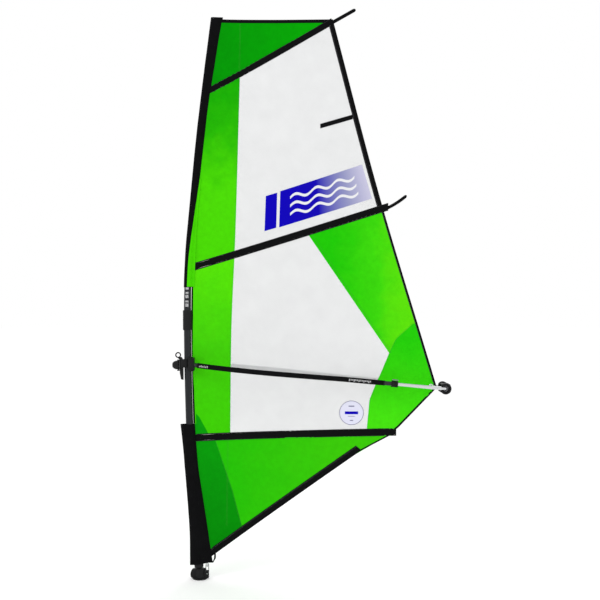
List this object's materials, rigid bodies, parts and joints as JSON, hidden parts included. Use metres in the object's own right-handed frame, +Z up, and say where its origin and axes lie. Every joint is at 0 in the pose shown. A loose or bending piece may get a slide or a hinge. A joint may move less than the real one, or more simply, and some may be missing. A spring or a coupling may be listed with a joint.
{
  "type": "windsurf sail rig",
  "caption": "Rigged windsurf sail with curved mast, clear film windows, batten pockets, bowed wishbone boom with telescoping tail, and a mast base with pulleys.",
  "frame": {"origin": "centre of the mast base's socket, at its underside", "axes": "+Z up the mast, +X aft from the mast to the clew, +Y through the sail's thickness, towards its belly"},
  "size_m": [1.746, 0.372, 3.5955],
  "materials": {
    "mast": "satin black",
    "sleeve_black": "woven",
    "webbing_black": "woven tape",
    "cloth_green": "coated sailcloth",
    "cloth_dark_green": "coated sailcloth",
    "film": "clear film",
    "batten": "satin",
    "foam_black": "grained foam",
    "moulded_black": "fine grain",
    "moulded_grey": "fine grain",
    "alloy": "anodised",
    "steel": "polished",
    "rubber_black": "matt",
    "line_black": "braided"
  },
  "bodies": {
    "root": {"mast_lower": "mast", "mast_upper": "mast", "mast_ferrule": "moulded_black", "mast_joint_band": "rubber_black", "extension_tube": "mast", "extension_collar": "moulded_black", "base_cup": "moulded_black", "base_sheave_axle": "steel", "tack_block": "steel", "tack_axle": "steel", "tack_strap": "webbing_black", "downhaul_line": "line_black", "luff_sleeve_lower": "sleeve_black", "luff_sleeve_upper": "sleeve_black", "head_panel": "cloth_dark_green", "luff_panel_upper": "cloth_green", "window_upper": "film", "leech_tape_upper": "webbing_black", "luff_panel_lower": "cloth_green", "window_main": "film", "leech_panel": "cloth_green", "clew_patch": "cloth_green", "clew_ring": "steel", "leech_tape_lower": "webbing_black", "tack_patch_lower": "cloth_dark_green", "foot_panel": "cloth_green", "foot_tape": "webbing_black", "pocket_top": "webbing_black", "pocket_middle": "webbing_black", "pocket_lower": "webbing_black", "pocket_short": "webbing_black", "batten_top": "batten", "batten_middle": "batten", "batten_lower": "batten", "batten_tail_top": "webbing_black", "batten_tail_middle": "webbing_black", "boom_arm_port": "mast", "boom_arm_starboard": "mast", "boom_grip_port": "foam_black", "boom_grip_starboard": "foam_black", "tail_lock_collar_port": "moulded_black", "tail_lock_collar_starboard": "moulded_black", "boom_head_body": "moulded_black", "jaw_hinge_pin": "steel"},
    "boom_tail": {"boom_tail_tube_port": "alloy", "boom_tail_tube_starboard": "alloy", "boom_end_fitting": "moulded_black", "outhaul_line": "line_black"},
    "outhaul_sheave_port": {"outhaul_sheave_port": "moulded_grey"},
    "outhaul_sheave_starboard": {"outhaul_sheave_starboard": "moulded_grey"},
    "boom_head_jaw": {"boom_head_jaw": "moulded_black"},
    "boom_head_lever": {"boom_head_lever": "moulded_black"},
    "tail_lock_lever_port": {"tail_lock_lever_port": "moulded_grey"},
    "tail_lock_lever_starboard": {"tail_lock_lever_starboard": "moulded_grey"},
    "base_sheave_1": {"base_sheave_1": "moulded_grey"},
    "base_sheave_2": {"base_sheave_2": "moulded_grey"},
    "base_sheave_3": {"base_sheave_3": "moulded_grey"},
    "tack_sheave_1": {"tack_sheave_1": "moulded_grey"},
    "tack_sheave_2": {"tack_sheave_2": "moulded_grey"},
    "base_release_button": {"base_release_button": "moulded_grey"}
  },
  "joints": [
    {"name": "boom_tail_slide", "type": "slide", "parent": "root", "child": "boom_tail", "axis": [0.9956, 0, -0.0932], "range_m": [-0.012, 0.21], "deforming": ["outhaul_line"]},
    {"name": "outhaul_sheave_port_spin", "type": "hinge", "parent": "boom_tail", "child": "outhaul_sheave_port", "pos_m": [1.531, 0.029, 1.20136], "axis": [0, 0, 1], "continuous": true},
    {"name": "outhaul_sheave_starboard_spin", "type": "hinge", "parent": "boom_tail", "child": "outhaul_sheave_starboard", "pos_m": [1.531, -0.029, 1.20136], "axis": [0, 0, 1], "continuous": true},
    {"name": "boom_head_jaw_hinge", "type": "hinge", "parent": "root", "child": "boom_head_jaw", "pos_m": [-0.07659, 0.048, 1.356], "axis": [0, 0, -1], "range_deg": [0, 60]},
    {"name": "boom_head_lever_hinge", "type": "hinge", "parent": "boom_head_jaw", "child": "boom_head_lever", "pos_m": [-0.13459, -0.027, 1.356], "axis": [0, 0, 1], "range_deg": [0, 95]},
    {"name": "tail_lock_port_hinge", "type": "hinge", "parent": "root", "child": "tail_lock_lever_port", "pos_m": [1.2076, 0.075, 1.2584], "axis": [0, -1, 0], "range_deg": [0, 95]},
    {"name": "tail_lock_starboard_hinge", "type": "hinge", "parent": "root", "child": "tail_lock_lever_starboard", "pos_m": [1.2076, -0.075, 1.2584], "axis": [0, -1, 0], "range_deg": [0, 95]},
    {"name": "base_sheave_1_spin", "type": "hinge", "parent": "root", "child": "base_sheave_1", "pos_m": [0.046, -0.0084, 0.034], "axis": [0, 1, 0], "continuous": true},
    {"name": "base_sheave_2_spin", "type": "hinge", "parent": "root", "child": "base_sheave_2", "pos_m": [0.046, 0, 0.034], "axis": [0, 1, 0], "continuous": true},
    {"name": "base_sheave_3_spin", "type": "hinge", "parent": "root", "child": "base_sheave_3", "pos_m": [0.046, 0.0084, 0.034], "axis": [0, 1, 0], "continuous": true},
    {"name": "tack_sheave_1_spin", "type": "hinge", "parent": "root", "child": "tack_sheave_1", "pos_m": [0.046, -0.0042, 0.086], "axis": [0, 1, 0], "continuous": true},
    {"name": "tack_sheave_2_spin", "type": "hinge", "parent": "root", "child": "tack_sheave_2", "pos_m": [0.046, 0.0042, 0.086], "axis": [0, 1, 0], "continuous": true},
    {"name": "release_button_press", "type": "slide", "parent": "root", "child": "base_release_button", "axis": [1, 0, 0], "range_m": [0, 0.004], "stiffness_N_per_m": 300}
  ]
}
